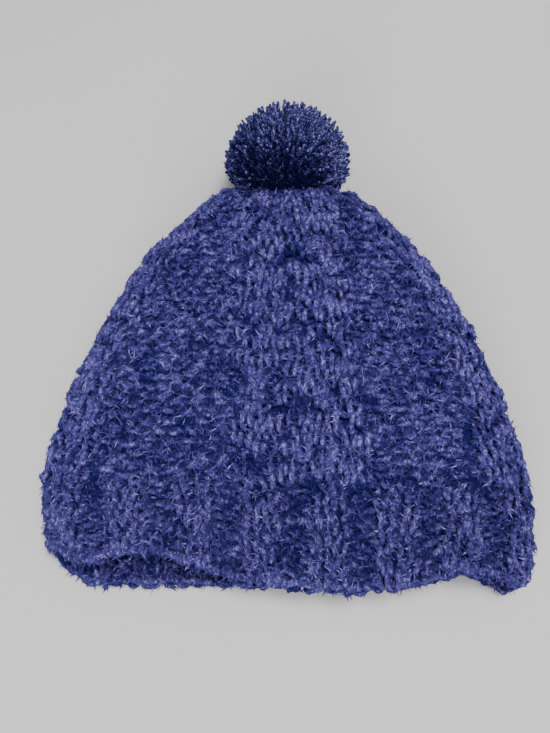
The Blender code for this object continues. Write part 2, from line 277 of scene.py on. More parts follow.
# Columns: face (1 knit, -1 purl), sideways shift, width; a row for each stitch of one rib
RIB_STITCHES = np.array((
    (-1.0, 0.10, 0.88),
    (1.0, -0.06, 1.12),
    (1.0, 0.06, 1.12),
    (-1.0, -0.10, 0.88),
))

# Columns: waves round the bag, waves along it (radians a metre), phase, height
SWELL_WAVES = (
    (5, 90, 0.0, 1.0),
    (9, -150, 1.3, 0.8),
    (14, 210, 4.1, 0.7),
)

# How finely the loops are drawn, and where the layers meet
FINE = (12, 5)  # points in a loop, sides of its yarn
COARSE = (8, 4)
CAST_ON = (6, 6)
UPPER_REACH = 17.6
LOWER_FROM = 16.4
END_IN_SIGHT = 2
LATE_STITCHES = (1, 3, 4, 6)  # of a cable, where they pass below
RISE_SPAN = 1.35  # in CROSSING_REACH
DROP_SPAN = 0.85
CREASE_FADE = 4.0
EDGE_FROM = 0.55
EDGE_EASE = 0.45
PART_FROM = 0.2
PART_EASE = 0.5
LEVEL_TO_RELIEF = 0.45
ROW_HEIGHT_SHARE = 0.62
LOW_FACING = -0.2

# The thin layer behind the loops, darker than the yarn as painted shade in the gaps
LAYER_THICKNESS = 0.0006
LAYER_LOWEST = 0.0016
LAYER_START = 0.0012
LAYER_END = SHOULDER + END_REACH * 0.97
BRIM_LAYER_STEP = 0.0023
CROWN_LAYER_STEP = 0.0030
BEHIND_RIB = 0.0004  # behind the knit stitches' middle
BEHIND_CABLE = 0.0012
RIB_MIDDLE = 2.5
CABLE_MARGIN = 0.3
CABLE_EASE = 0.8

# The coats. Columns: name, which rows, count, shortest and longest fibre, width, lowest and
# highest angle to the fabric, slot
COATS = (
    ("crown_nap", "top", 64000, (0.0011, 0.0026), 0.00060, (-0.15, 0.16), "crown_knit"),
    ("crown_tufts", "top", 10000, (0.0012, 0.0024), 0.00092, (-0.15, 0.08), "crown_knit"),
    ("crown_halo", "top", 20000, (0.0010, 0.0026), 0.00011, (0.0, 0.9), "crown_knit"),
    ("crown_nap_under", "low", 9000, (0.0014, 0.0030), 0.00040, (-0.15, 0.30), "crown_knit"),
    ("brim_nap", "brim", 30000, (0.0010, 0.0021), 0.00064, (-0.15, 0.12), "brim_knit"),
    ("brim_tufts", "brim", 8000, (0.0010, 0.0020), 0.00092, (-0.15, 0.06), "brim_knit"),
    ("brim_halo", "brim", 7500, (0.0009, 0.0024), 0.00011, (0.0, 0.9), "brim_knit"),
    ("mouth_nap", "mouth", 12000, (0.0010, 0.0022), 0.00058, (-0.15, 0.15), "brim_knit"),
)
POMPOM_HAIRS = (5000, (0.0010, 0.0026), 0.00018, (0.2, 1.45))
LOCK_SIZE = 0.007
DRIFT_WAVES = 4.0
DRIFT_PHASE = 6.0
FIBRE_SPREAD = 0.8
ROOT_TURN = 1.1
ROOT_LEAN = 0.5
ROOT_DEPTH = 0.8  # share of the yarn's radius
FIBRE_BEND = 0.7
FIBRE_MOST_BEND = 1.05
FIBRE_DROOP = 0.30  # as a share of its length
FIBRE_MIDDLE = 0.55
FIBRE_MIDDLE_WIDTH = 0.85
FIBRE_LOWEST = 0.0002

# The yarns' colours. Columns: name, dark, middle, light
CROWN_WOOL = ("crown_wool", (0.003, 0.003, 0.082), (0.069, 0.058, 0.257), (0.29, 0.27, 0.65))
BRIM_WOOL = ("brim_wool", (0.003, 0.003, 0.068), (0.043, 0.036, 0.178), (0.22, 0.20, 0.52))
# Painted shade: the layer behind the loops is darker than the yarn, as the shade in the gaps
LAYER_PAINTED_SHADE = ("fabric_depth_shade", (0.004, 0.004, 0.066), (0.026, 0.022, 0.132), (0.14, 0.13, 0.38))
FIBRES = ("wool_fibre", (0.008, 0.007, 0.098), (0.083, 0.068, 0.297), (0.30, 0.28, 0.66))
STRANDS_YARN = ("pompom_yarn", (0.0006, 0.0008, 0.022), (0.011, 0.011, 0.095), (0.28, 0.28, 0.64))
# Painted shade: the pompom's heart and its tie are near black, as deep among the strands
HEART_SHADE_YARN = ("pompom_heart_shade", (0.002, 0.002, 0.018), (0.003, 0.004, 0.028), (0.004, 0.005, 0.035))
SOFT_SHEEN = {"Sheen Roughness": 0.45}
NOISE_ROUGHNESS = 0.6
# Heights over the fabric's middle at which the wool is darkest and palest, as painted shade in the
# recesses and painted light on the raised yarn
CROWN_DEPTHS = (0.0004, 0.0030)
BRIM_DEPTHS = (0.0003, 0.0029)
LAYER_DEPTHS = (0.0, 0.01)

# The camera and the staging
CAMERA_TILT = 20.0  # degrees from straight down
CAMERA_ROLL = 0.010
CAMERA_PLACE = (-0.0058, -0.1200, 0.2862)
CAMERA_LENS = 35.85
CAMERA_SENSOR = 36.0
CAMERA_NEAREST = 0.01
FLOOR_COLOURS = ((0.71, 0.70, 0.69), (0.75, 0.74, 0.73))
FLOOR_ROUGHNESS = 0.8
FLOOR_SIZE = 6.0
FLOOR_HEIGHT = -0.0002
SKY_COLOUR = (0.93, 0.95, 1.0, 1.0)
SKY_STRENGTH = 0.50
# Columns: name, place, size, power
LAMPS = (
    ("key", (0.28, 0.15, 1.40), 0.45, 15.0),
    ("fill", (-0.30, -1.2, 0.45), 0.8, 13.0),
)
DICE_SEED = 20


def ease(value):
    """0 below 0, 1 above 1, and an even ease between them."""
    t = np.clip(value, 0.0, 1.0)
    return t * t * (3.0 - 2.0 * t)


def centred(stitch, span=STITCHES):
    """Stitches from the nearest middle, of which one lies in each span."""
    return (stitch + span / 2) % span - span / 2


def unit(vectors, least=TINY):
    """Vectors of length 1."""
    return vectors / np.maximum(np.linalg.norm(vectors, axis=-1, keepdims=True), least)


def section_size(along):
    """Width and height of the flattened section at lengths from the brim's edge."""
    places = SECTIONS[:, 0]
    share = np.clip(along / SHOULDER, 0.0, 1.0)
    last = len(places) - 1
    i = np.clip(np.searchsorted(places, share, side="right") - 1, 0, last - 1)
    before = np.maximum(i - 1, 0)
    after = np.minimum(i + 2, last)
    step = places[i + 1] - places[i]
    t = (share - places[i]) / step
    sizes = []
    for column in (1, 2):
        value = SECTIONS[:, column]
        slope_in = step * (value[i + 1] - value[before]) / (places[i + 1] - places[before])
        slope_out = step * (value[after] - value[i]) / (places[after] - places[i])
        sizes.append(
            value[i] * (1 + 2 * t) * (1 - t) ** 2
            + slope_in * t * (1 - t) ** 2
            + value[i + 1] * t * t * (3 - 2 * t)
            + slope_out * t * t * (t - 1)
        )
    return sizes[0] * CAP_WIDTH, sizes[1] * LYING_HEIGHT


def quarter_arc(half_width, rise, fullness, count):
    """Evenly spaced points of a quarter superellipse, from its middle to its fold."""
    angle = np.linspace(0.0, 0.5 * math.pi, ARC_POINTS)
    power = 2.0 / fullness
    x = half_width * np.sin(angle) ** power
    z = rise * np.clip(np.cos(angle), 0.0, 1.0) ** power
    length = np.concatenate(([0.0], np.cumsum(np.hypot(np.diff(x), np.diff(z)))))
    target = np.linspace(0.0, length[-1], count + 1)
    return np.interp(target, length, x), np.interp(target, length, z)


def flat_ring(along):
    """One section's x and z round the bag, with its underside still round."""
    width, height = section_size(np.float64(along))
    quarter = STITCHES // 4 * GRID_ROUND
    middle = height * MIDDLE_SHARE
    upper_x, upper_z = quarter_arc(width / 2, height - middle, UPPER_FULLNESS, quarter)
    lower_x, lower_z = quarter_arc(width / 2, middle + FLOOR_PRESS, LOWER_FULLNESS, quarter)
    x = np.concatenate((upper_x, lower_x[-2::-1], -lower_x[1:], -upper_x[-2:0:-1]))
    z = np.concatenate((upper_z, -lower_z[-2::-1], -lower_z[1:], upper_z[-2:0:-1])) + middle
    return x, z


def hem_wave(stitch):
    """Setback and lift of the brim's edge."""
    setback = np.zeros_like(stitch)
    lift = np.zeros_like(stitch)
    for middle, reach, back, up in HEM_WAVES:
        share = ease(1.0 - np.abs(centred(stitch - middle)) / reach)
        setback += back * share
        lift += up * share
    return setback, lift


def pompom_middle_along():
    """The pompom's middle as a length along the cap."""
    return BAG_LENGTH - END_ROUND * POMPOM_DENT + SEAT_GAP + POMPOM_PRESSED


def closing_ring(length, shoulder, end_height):
    """The section of the end that closes, dented where the pompom presses on it."""
    shoulder_x, shoulder_z = shoulder
    turn = (length - SHOULDER) / END_REACH
    angle = 0.5 * math.pi * turn
    close = math.cos(angle) * (1.0 - turn ** 3)
    x = shoulder_x * close
    z = end_height + (np.maximum(shoulder_z, 0.0) - end_height) * close
    along = np.full_like(x, SHOULDER + END_ROUND * math.sin(angle))
    across = x / (POMPOM_WIDTH / 2)
    reach = np.where(z > POMPOM_MIDDLE, POMPOM_TOP - POMPOM_MIDDLE, POMPOM_MIDDLE)
    bulge = np.sqrt(np.clip(1.0 - across ** 2 - ((z - POMPOM_MIDDLE) / reach) ** 2, 0.0, 1.0))
    near = pompom_middle_along() - POMPOM_PRESSED * bulge - SEAT_GAP
    return x, np.where(bulge > 0.0, np.minimum(along, near), along), z


def open_ring(length, setback, lift):
    """The section of the bag at one length, with the waves of the brim's edge."""
    x, z = flat_ring(max(min(length, SHOULDER), 0.0))
    z = np.maximum(z, 0.0)
    along = np.full_like(x, min(length, SHOULDER))
    if length < BRIM_LENGTH:
        along += setback * (1.0 - length / BRIM_LENGTH)
        z += lift * (1.0 - ease(length / BRIM_LENGTH))
    return x, along, z


def make_bag():
    """The bag's outside as a grid: the lengths of its lines, places and normals."""
    lengths = np.concatenate((
        np.arange(GRID_START, SHOULDER, GRID_STEP),
        np.linspace(SHOULDER, SHOULDER + END_REACH, END_GRID_ROWS),
    ))
    stitches = np.arange(STITCHES * GRID_ROUND) / GRID_ROUND
    setback, lift = hem_wave(stitches)
    shoulder = flat_ring(SHOULDER)
    end_height = section_size(np.float64(SHOULDER))[1] / 2
    places = np.zeros((len(lengths), len(stitches), 3))
    for row, length in enumerate(lengths):
        if length > SHOULDER:
            ring = closing_ring(length, shoulder, end_height)
        else:
            ring = open_ring(length, setback, lift)
        places[row] = np.stack(ring, axis=1)
    places[..., 1] += BRIM_EDGE
    around = np.roll(places, -1, axis=1) - np.roll(places, 1, axis=1)
    onward = np.gradient(places, axis=0)
    return lengths, places, unit(np.cross(around, onward), TINIEST)


BAG_LENGTHS, BAG_PLACES, BAG_NORMALS = make_bag()


def on_bag(stitch, length):
    """Places and normals of the bag's outside, read between the grid's lines."""
    column = (stitch % STITCHES) * GRID_ROUND
    left = np.floor(column).astype(int)
    s = (column - left)[..., None]
    count = STITCHES * GRID_ROUND
    left %= count
    right = (left + 1) % count
    row = np.interp(length, BAG_LENGTHS, np.arange(len(BAG_LENGTHS)))
    low = np.clip(np.floor(row).astype(int), 0, len(BAG_LENGTHS) - 2)
    t = (row - low)[..., None]

    def read(grid):
        below = grid[low, left] * (1 - s) + grid[low, right] * s
        above = grid[low + 1, left] * (1 - s) + grid[low + 1, right] * s
        return below * (1 - t) + above * t

    return read(BAG_PLACES), unit(read(BAG_NORMALS), TINIEST)


def pressed_share(stitch, length):
    """1 where the table flattens the layer, 0 on the free part of the bag."""
    place, normal = on_bag(stitch, length)
    low = ease((PRESS_HEIGHT - place[..., 2]) / PRESS_EASE)
    return low * ease(-normal[..., 2] * PRESS_TURN)


def pleats(stitch, length):
    """The gathers of the end, which grow towards it."""
    growth = ease(1.0 - (BAG_LENGTH - length) / GATHER_LENGTH)
    return PLEAT_DEPTH * growth * np.cos(TURN * GATHER_PLEATS * stitch / STITCHES)


def ground_stitches(length):
    """Stitches of purl ground beside each cable, which decrease towards the end."""
    share = ease((length - DECREASES_START) / (SHOULDER - DECREASES_START))
    return GROUND + (GROUND_AT_END - GROUND) * share


def front_slip(stitch, length):
    """Stitches by which the upper layer's knitting has slipped sideways at one place."""
    gain = SLIP_NEXT_TO_BRIM * ease(1.0 - (length - BRIM_LENGTH) / SLIP_LENGTH)
    return (FRONT_SLIP + gain) * ease(1.0 - np.abs(centred(stitch)) / SLIP_REACH)


def brim_row():
    """Middles, widths, faces, levels and grooves of the stitches of one ribbed row."""
    number = np.arange(STITCHES)
    face, shift, width = RIB_STITCHES[number % len(RIB_STITCHES)].T
    level = np.where(face > 0, RIB_KNIT_LEVEL, RIB_PURL_LEVEL)
    return number + 1.0 + shift, width, face, level, np.zeros(STITCHES)


def crossing_offset(length):
    """Length from the nearest crossing of the cables' strands."""
    nearest = np.round((length - FIRST_CROSSING) / CABLE_PITCH)
    return length - FIRST_CROSSING - np.clip(nearest, 0, LAST_CROSSING) * CABLE_PITCH


def crossing_crease(stitch, length):
    """1 along the inner edge of each strand that crosses over, 0 away from it."""
    widening = (CABLE + ground_stitches(length)) / PANEL
    inside = np.abs(centred(stitch - front_slip(stitch, length), PANEL)) * widening
    moved = 0.5 + 0.5 * crossing_offset(length) / CROSSING_REACH
    edge = STRAND * (1.0 - ease(moved))
    begun = ease(CREASE_FADE * moved)
    within = begun * ease(CREASE_FADE * (1.0 - moved)) * (length > BRIM_LENGTH)
    return within * np.exp(-((inside - edge) * STITCH_WIDTH / CREASE_WIDTH) ** 2)


def creases(stitch, length):
    """How deep each place lies in a crease, from 0 to 1."""
    deepest = CROSSING_CREASE * crossing_crease(stitch, length)
    across = centred(stitch) * STITCH_WIDTH
    for stitch_a, length_a, stitch_b, length_b, strength in CREASES:
        step = np.array(((stitch_b - stitch_a) * STITCH_WIDTH, length_b - length_a))
        from_a = np.stack((across - stitch_a * STITCH_WIDTH, length - length_a), axis=-1)
        share = np.clip(from_a @ step / (step @ step), 0.0, 1.0)
        off = np.linalg.norm(from_a - share[..., None] * step, axis=-1)
        deepest = np.maximum(deepest, strength * np.exp(-(off / CREASE_WIDTH) ** 2))
    return deepest


def cable_stitches(pitch, offset, calm):
    """Where the stitches of one cable lie from its middle, their levels and grooves."""
    over_moved = ease(0.5 + 0.5 * offset / CROSSING_REACH)
    early, late = (
        ease(0.5 + 0.5 * (offset / CROSSING_REACH + shift) / HIDDEN_SHARE)
        for shift in (HIDDEN_SHIFT, -HIDDEN_SHIFT)
    )
    rise = STRAND_RISE * max(0.0, 1.0 - (offset / (RISE_SPAN * CROSSING_REACH)) ** 2)
    drop = STRAND_DROP * max(0.0, 1.0 - (offset / (DROP_SPAN * CROSSING_REACH)) ** 2)
    stitches = []
    for number in range(CABLE):
        side = -1.0 if number < CABLE // 2 else 1.0
        outer = not STRAND <= number < CABLE - STRAND
        over = outer if offset < 0 else not outer
        under_moved = late if number in LATE_STITCHES else early
        moved = over_moved if over else under_moved
        gone = moved if offset < 0 else moved - 1.0
        swing = STRAND * gone if over else -STRAND * gone
        place = (number + 0.5 - CABLE / 2 - side * swing) * pitch
        level = CABLE_LEVEL + calm * (rise if over else -drop)
        stitches.append((place, level, STRAND_GROOVE if number % STRAND == 0 else 0.0))
    return stitches


def crown_row(length):
    """Middles, widths, faces, levels and grooves of the stitches of one row with cables."""
    ground = ground_stitches(length)
    purls = max(int(round(ground)), GROUND_AT_END)
    pitch = PANEL / (CABLE + ground)
    offset = float(crossing_offset(length))
    stitches = []
    for panel in range(STITCHES // PANEL):
        centre = panel * PANEL
        calm = FOLD_CALM if panel % 2 else 1.0
        for place, level, groove in cable_stitches(pitch, offset, calm):
            stitches.append((centre + place, pitch, 1.0, level, groove))
        start = centre + CABLE / 2 * pitch
        span = PANEL - CABLE * pitch
        for number in range(purls):
            middle = start + span * (number + 0.5) / purls
            groove = STRAND_GROOVE if number == 0 else 0.0
            stitches.append((middle, span / purls, -1.0, GROUND_LEVEL, groove))
    middles, *others = np.array(stitches, dtype=float).T
    return (middles + front_slip(middles, length), *others)


def pulled_share(length):
    """How much the stitches at one length are pulled about."""
    onward = float(ease((length - UNEVEN_FROM) / UNEVEN_REACH))
    return (CROWN_UNEVEN + (1 - CROWN_UNEVEN) * onward) * float(length > BRIM_LENGTH)


def joins(middle, width, groove, edge, first_half):
    """How the yarn shifts sideways and sinks where it passes from one stitch to the next."""
    before = np.roll(middle, 1)
    before[0] -= STITCHES
    step = middle - before - 0.5 * (width + np.roll(width, 1))
    parted = np.maximum(ease((np.abs(step) - PART_FROM) / PART_EASE), groove)
    shift = np.where(first_half, -0.5 * step[:, None], 0.5 * np.roll(step, -1)[:, None]) * edge
    sink = np.where(first_half, parted[:, None], np.roll(parted, -1)[:, None]) * edge * TURN_BEHIND
    return shift, sink


def loop_path(row, length, spacing, segments, dice):
    """One row of loops round the bag as stitch, length, level, tone and relief."""
    middle, width, face, level, groove = row
    t = np.arange(segments) / segments * TURN
    from_middle = np.abs(t - math.pi) / math.pi
    edge = ease((from_middle - EDGE_FROM) / EDGE_EASE)[None, :]
    first_half = (t < math.pi)[None, :]

    def spread(values):
        beside = np.where(first_half, np.roll(values, 1)[:, None], np.roll(values, -1)[:, None])
        return values[:, None] * (1 - 0.5 * edge) + beside * 0.5 * edge

    wander = dice.normal(0.0, 1.0, (4, len(middle)))
    pulled = pulled_share(length)
    sideways = width * (SIDE_WANDER + SIDE_PULL * pulled) * wander[0]
    sideways += pulled * SWAY * np.sin(TURN * length / SWAY_LENGTH + SWAY_TURN * middle)
    shift, sink = joins(middle, width, groove, edge, first_half)
    across = width[:, None] * (t[None, :] - math.pi) / TURN
    swing = width[:, None] * LOOP_SWING * np.sin(2 * t)[None, :]
    stitch = middle[:, None] + across + swing + shift + spread(sideways)
    onward = spread(wander[1] * (ROW_WANDER + ROW_PULL * pulled))
    along = length + onward - LOOP_RISE * spacing * np.cos(t)[None, :]
    depth = LOOP_DEPTH * (1 + DEPTH_WANDER * wander[2])
    bulge = -np.cos(2 * t)[None, :] * spread(face) * depth[:, None]
    relief = bulge + LEVEL_TO_RELIEF * (spread(level) - GROUND_LEVEL) - sink
    return stitch, along, spread(level) + bulge - sink, spread(wander[3] * TONE_WANDER), relief


def swell(stitch, length):
    """A slow unevenness of the fabric, between -1 and 1."""
    turn = TURN * stitch / STITCHES
    waves = (
        height * np.sin(round_the_bag * turn + along_it * length + phase)
        for round_the_bag, along_it, phase, height in SWELL_WAVES
    )
    return SWELL_SHARE * sum(waves)


def smooth_noise(count, window, dice):
    """Uneven steps in three directions that change slowly along a yarn."""
    knots = max(count // window, FEWEST_KNOTS)
    coarse = dice.normal(0.0, 1.0, (knots, 3))
    places = np.linspace(0, count - 1, knots)
    return np.stack([np.interp(np.arange(count), places, coarse[:, k]) for k in range(3)], axis=1)


def row_points(row, length, spacing, segments, dice):
    """Places, outward normals, heights, tones and shades of one row's yarn."""
    path = loop_path(row, length, spacing, segments, dice)
    stitch, along, lift, tone, relief = (part.ravel() for part in path)
    press = pressed_share(stitch, along)
    mean_level = np.repeat(row[3], segments)
    lift = lift + press * (PRESSED_LEVEL - mean_level)
    shade = creases(stitch, along)
    waves = pleats(stitch, along) + UNEVENNESS * swell(stitch, along)
    lift += (waves - CREASE_DEPTH * shade) * (1 - press)
    # Painted shade: a crease lowers the relief, which darkens the yarn's colour
    relief = np.maximum(relief - CREASE_SHADE * shade, np.minimum(relief, -YARN_RADIUS))
    place, normal = on_bag(stitch, along)
    wobble = smooth_noise(len(stitch), WOBBLE_WINDOW, dice) * YARN_WOBBLE
    point = place + normal * lift[:, None] + wobble
    point[:, 2] = np.maximum(point[:, 2], YARN_RADIUS)
    return point, normal, relief, tone, shade


def ring_faces(here, there, sides):
    """Faces between rings, from the first corner of each and of the next one."""
    k = np.arange(sides)
    n = (k + 1) % sides
    return np.stack((here + k, here + n, there + n, there + k), axis=-1).reshape(-1, 4)


def rings(points, ahead, near, radius, sides):
    """Corners of a tube round each point, and the directions in which they lie from it."""
    beside = unit(np.cross(ahead, near))
    out = np.cross(beside, ahead)
    angle = (np.arange(sides) / sides * TURN)[:, None]
    ring = beside[..., None, :] * np.cos(angle) + out[..., None, :] * np.sin(angle)
    return points[..., None, :] + ring * radius[..., None, None], ring


def tube(points, normals, radius, sides, closed):
    """A yarn's corners, its faces and the share of each corner that faces outward."""
    count = len(points)
    if closed:
        ahead = np.roll(points, -1, axis=0) - np.roll(points, 1, axis=0)
    else:
        ahead = np.gradient(points, axis=0)
    corners, ring = rings(points, unit(ahead), normals, radius, sides)
    facing = np.einsum("csk,ck->cs", ring, normals)
    here = np.arange(count if closed else count - 1)[:, None]
    quads = ring_faces(here * sides, (here + 1) % count * sides, sides)
    return corners.reshape(-1, 3), quads, facing.ravel()


def mesh_piece(name, corners, faces, values, material):
    """A mesh object from corners, faces of one size and named values at the corners."""
    mesh = bpy.data.meshes.new(name)
    sides = faces.shape[1]
    mesh.vertices.add(len(corners))
    mesh.vertices.foreach_set("co", corners.astype(np.float32).ravel())
    mesh.loops.add(faces.size)
    mesh.loops.foreach_set("vertex_index", faces.astype(np.int32).ravel())
    mesh.polygons.add(len(faces))
    mesh.polygons.foreach_set("loop_start", np.arange(0, faces.size, sides, dtype=np.int32))
    mesh.update(calc_edges=True)
    mesh.polygons.foreach_set("use_smooth", np.ones(len(faces), dtype=bool))
    for label, numbers in values.items():
        layer = mesh.attributes.new(label, "FLOAT", "POINT")
        layer.data.foreach_set("value", numbers.astype(np.float32))
    mesh.materials.append(material)
    mesh.update()
    piece = bpy.data.objects.new(name, mesh)
    bpy.context.scene.collection.objects.link(piece)
    return piece


def join_tubes(name, tubes, material):
    """One mesh from tubes, each with its corners, faces and named values."""
    corners, faces, values = zip(*tubes)
    starts = np.cumsum([0] + [len(part) for part in corners[:-1]])
    faces = np.concatenate([part + start for part, start in zip(faces, starts)])
    values = {label: np.concatenate([part[label] for part in values]) for label in values[0]}
    return mesh_piece(name, np.concatenate(corners), faces, values, material)


def yarn_radius(relief, dice):
    """An uneven yarn: its radius along a path, fuller where a loop stands in front."""
    count = len(relief)
    knots = max(count // THICK_WINDOW, FEWEST_KNOTS)
    coarse = dice.normal(0.0, 1.0, knots)
    uneven = np.interp(np.arange(count), np.linspace(0, count, knots), coarse)
    front = np.clip(relief / LOOP_DEPTH, -1.0, 1.0)
    share = 1.0 + THICK_WANDER * uneven + THICK_IN_FRONT * front
    return YARN_RADIUS * np.clip(share, THINNEST, THICKEST)


def lay_yarn(tubes, rows, yarn, radius, sides, closed=True):
    """Adds one yarn to the tubes, and to the rows that fibres grow on."""
    point, normal, relief, tone, shade = yarn
    corners, quads, facing = tube(point, normal, radius, sides, closed)
    corners[:, 2] = np.maximum(corners[:, 2], YARN_LOWEST)
    # The yarn's height over the fabric's middle, which paints shade in the recesses and light on the
    # raised yarn
    height = np.abs(np.repeat(relief, sides) + np.repeat(radius, sides) * facing)
    # Painted light: faces turned inward count as higher, so they are paler
    height += INSIDE_LIGHT_LIFT * np.clip(-facing, 0.0, 1.0)
    tubes.append((corners, quads, {"depth": height, "tone": np.repeat(tone, sides)}))
    rows.append((point, normal, radius, shade))


def knit_brim(dice):
    """The brim's rows and the two yarns that end them."""
    tubes, rows = [], []
    spacing = (BRIM_LENGTH - HEM_MARGIN) / BRIM_ROWS
    row = brim_row()
    segments, sides = FINE
    # Painted light on the knit ribs, painted shade on the purl columns
    paler = RIB_SHADE * np.repeat(row[2], segments)
    for number in range(BRIM_ROWS):
        length = HEM_MARGIN + spacing * (number + ROW_HEIGHT_SHARE)
        *yarn, shade = row_points(row, length, spacing, segments, dice)
        lay_yarn(tubes, rows, (*yarn, shade - paler), yarn_radius(yarn[2], dice), sides)
    for phase in (0.0, math.pi):
        cast_on(tubes, rows, phase, dice)
    return tubes, rows


def cast_on(tubes, rows, phase, dice):
    """One of the two yarns that twist round each other along the brim's edge."""
    segments, sides = CAST_ON
    stitch = np.arange(STITCHES * segments) / segments
    turn = TURN * stitch + phase
    along = HEM_MARGIN + CAST_ON_MIDDLE + CAST_ON_TWIST * np.cos(turn)
    press = pressed_share(stitch, along)
    lift = 0.5 * (RIB_PURL_LEVEL + RIB_KNIT_LEVEL) * (1 - press) + PRESSED_LEVEL * press
    lift += CAST_ON_DEPTH * np.sin(turn)
    place, normal = on_bag(stitch, along)
    wobble = smooth_noise(len(stitch), CAST_ON_WINDOW, dice) * YARN_WOBBLE
    point = place + normal * lift[:, None] + wobble
    point[:, 2] = np.maximum(point[:, 2], CAST_ON_RADIUS)
    relief = CAST_ON_HEIGHT + CAST_ON_DEPTH * np.sin(turn)
    radius = yarn_radius(relief, dice) * CAST_ON_RADIUS / YARN_RADIUS
    tone = dice.normal(0.0, CAST_ON_TONE, len(point))
    lay_yarn(tubes, rows, (point, normal, relief, tone, np.zeros(len(point))), radius, sides)


def inside_rows(rows):
    """The brim's rows on the lower layer as they show in the hollow."""
    turned = []
    for number, (point, normal, radius, shade) in enumerate(rows):
        low = normal[:, 2] < LOW_FACING
        # Painted light on the rows in the light, painted shade on those under the upper layer
        change = INSIDE_PAINTED_SHADE if ROWS_IN_LIGHT <= number < BRIM_ROWS else -INSIDE_PAINTED_LIGHT
        turned.append((point[low], -normal[low], radius[low], shade[low] + change))
    return turned


def layer_order(middle, on_top):
    """The points of a row that lie on one layer, in their order along the yarn."""
    home = np.abs(centred(middle))
    order = np.nonzero(home < UPPER_REACH if on_top else home > LOWER_FROM)[0]
    start = np.nonzero(np.diff(order, prepend=order[0] - 1) > 1)[0]
    return np.roll(order, -start[0]) if len(start) else order


def knit_layer(tubes, rows, row, length, spacing, on_top, dice):
    """One row of the crown, on one of its two layers."""
    segments, sides = FINE if on_top else COARSE
    yarn = row_points(row, length, spacing, segments, dice)
    order = layer_order(np.repeat(row[0], segments), on_top)
    radius = yarn_radius(yarn[2], dice)[order]
    radius[[0, -1]] *= YARN_END
    lay_yarn(tubes, rows, [values[order] for values in yarn], radius, sides, closed=False)


def knit_end(tubes, top_rows, low_rows, dice):
    """The rows of the end that closes, most of them behind the pompom."""
    segments, sides = COARSE[0], FINE[1]
    for number in range(END_ROWS):
        share = (number + 0.5) / END_ROWS
        length = SHOULDER + END_REACH * share * END_COVERED
        yarn = row_points(crown_row(length), length, END_REACH / END_ROWS, segments, dice)
        radius = yarn_radius(yarn[2], dice) * (1.0 - END_THINNING * share)
        lay_yarn(tubes, top_rows if number < END_IN_SIGHT else low_rows, yarn, radius, sides)


def knit_crown(dice):
    """The crown's rows, finely drawn on the upper layer."""
    upper, lower, top_rows, low_rows = [], [], [], []
    spacing = (SHOULDER - BRIM_LENGTH) / CROWN_ROWS
    for number in range(CROWN_ROWS):
        length = BRIM_LENGTH + spacing * (number + 0.5)
        row = crown_row(length)
        state = dice.bit_generator.state
        knit_layer(upper, top_rows, row, length, spacing, True, dice)
        dice.bit_generator.state = state
        knit_layer(lower, low_rows, row, length, spacing, False, dice)
    knit_end(lower, top_rows, low_rows, dice)
    return upper, lower, top_rows, low_rows


def behind_loops(stitch, length):
    """Level of the outside of the layer behind the loops."""
    if length <= BRIM_LENGTH:
        knit = 0.5 + 0.5 * np.cos(TURN * (stitch - RIB_MIDDLE) / len(RIB_STITCHES))
        base = RIB_PURL_LEVEL + (RIB_KNIT_LEVEL - RIB_PURL_LEVEL) * knit - BEHIND_RIB
    else:
        pitch = PANEL / (CABLE + ground_stitches(length))
        offset = centred(stitch - front_slip(stitch, length), PANEL)
        inside = ease((CABLE / 2 * pitch + CABLE_MARGIN - np.abs(offset)) / CABLE_EASE)
        base = GROUND_LEVEL + (CABLE_LEVEL - BEHIND_CABLE - GROUND_LEVEL) * inside
    return base


def ground_shell(name, low, high, step, material):
    """The middle of the fabric behind the loops: a thin closed layer, painted dark as the shade
    between the loops.
    """
    lengths = np.linspace(low, high, max(int((high - low) / step), 2) + 1)
    stitch = np.arange(STITCHES, dtype=float)
    rings = []
    for depth, order in ((0.0, lengths), (LAYER_THICKNESS, lengths[::-1])):
        for length in order:
            base = behind_loops(stitch, length)
            here = np.full_like(stitch, length)
            base = base + pressed_share(stitch, here) * (PRESSED_LEVEL - base)
            place, normal = on_bag(stitch, here)
            point = place + normal * (base - depth)[:, None]
            point[:, 2] = np.maximum(point[:, 2], LAYER_LOWEST + depth)
            rings.append(point)
    corners = np.concatenate(rings)
    here = np.arange(len(rings))[:, None]
    quads = ring_faces(here * len(stitch), (here + 1) % len(rings) * len(stitch), len(stitch))
    values = {"depth": np.full(len(corners), BEHIND_LOOPS), "tone": np.zeros(len(corners))}
    return mesh_piece(name, corners, quads[:, ::-1], values, material)


def drift(places, wave, dice):
    """Three smooth values from -1 to 1 at each place, which change over about one wave."""
    waves = dice.normal(0.0, DRIFT_WAVES / wave, (3, 3))
    return np.sin(places @ waves + dice.uniform(0.0, DRIFT_PHASE, 3))


def across(vectors, direction):
    """The part of vectors that lies across unit directions."""
    return vectors - direction * np.sum(vectors * direction, axis=1, keepdims=True)


def fibre_headings(normal, lay, stand, dice):
    """Directions along the fabric and of the fibres, which lie in small locks."""
    count = len(normal)
    along = unit(across(dice.normal(0.0, FIBRE_SPREAD, (count, 3)) + lay, normal))
    lift = dice.uniform(stand[0], stand[1], (count, 1))
    return along, along * np.cos(lift) + normal * np.sin(lift)


